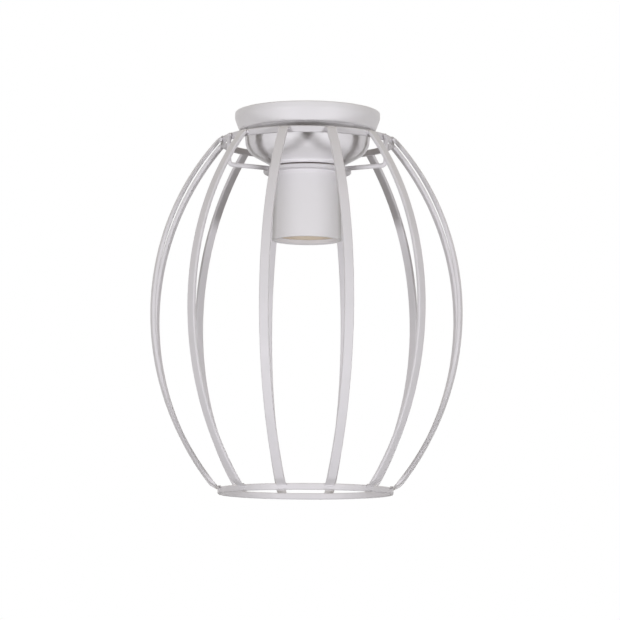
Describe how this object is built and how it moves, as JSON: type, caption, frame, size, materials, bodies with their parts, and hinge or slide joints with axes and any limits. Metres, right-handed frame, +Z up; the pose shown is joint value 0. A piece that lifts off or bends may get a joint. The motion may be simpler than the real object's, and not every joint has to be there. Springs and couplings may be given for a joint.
{
  "type": "cage lamp shade",
  "caption": "Open barrel cage shade of bent flat steel bars between two rings, hung by a wire spider from a ceiling lampholder with a flanged base, domed cover and skirt.",
  "frame": {"origin": "centre of the base's flat back face, which lies against the ceiling", "axes": "+Z up along the axis of the cage and the lampholder, towards the ceiling; -Y the front, midway between two ribs; +X to the right"},
  "size_m": [0.2034, 0.2034, 0.2528],
  "materials": {
    "white_powder_coat": "satin powder coat",
    "white_moulding": "gloss",
    "cream_insert": "satin",
    "brass": "drawn",
    "screw_steel": "zinc plated"
  },
  "bodies": {
    "root": {"rib_01": "white_powder_coat", "rib_02": "white_powder_coat", "rib_03": "white_powder_coat", "rib_04": "white_powder_coat", "rib_05": "white_powder_coat", "rib_06": "white_powder_coat", "rib_07": "white_powder_coat", "rib_08": "white_powder_coat", "rib_09": "white_powder_coat", "rib_10": "white_powder_coat", "rib_11": "white_powder_coat", "rib_12": "white_powder_coat", "spider_arm_1": "white_powder_coat", "spider_arm_2": "white_powder_coat", "spider_arm_3": "white_powder_coat", "top_ring": "white_powder_coat", "bottom_ring": "white_powder_coat", "spider_ring": "white_powder_coat", "ceiling_base": "white_moulding", "dome_cover": "white_moulding", "lampholder_skirt": "white_moulding", "lampholder_body": "cream_insert", "screw_shell": "brass", "centre_contact": "brass", "contact_rivets": "brass", "active_terminal": "brass", "neutral_terminal": "brass", "loop_terminal": "brass", "terminal_screws": "brass", "body_screws": "screw_steel"}
  },
  "joints": []
}
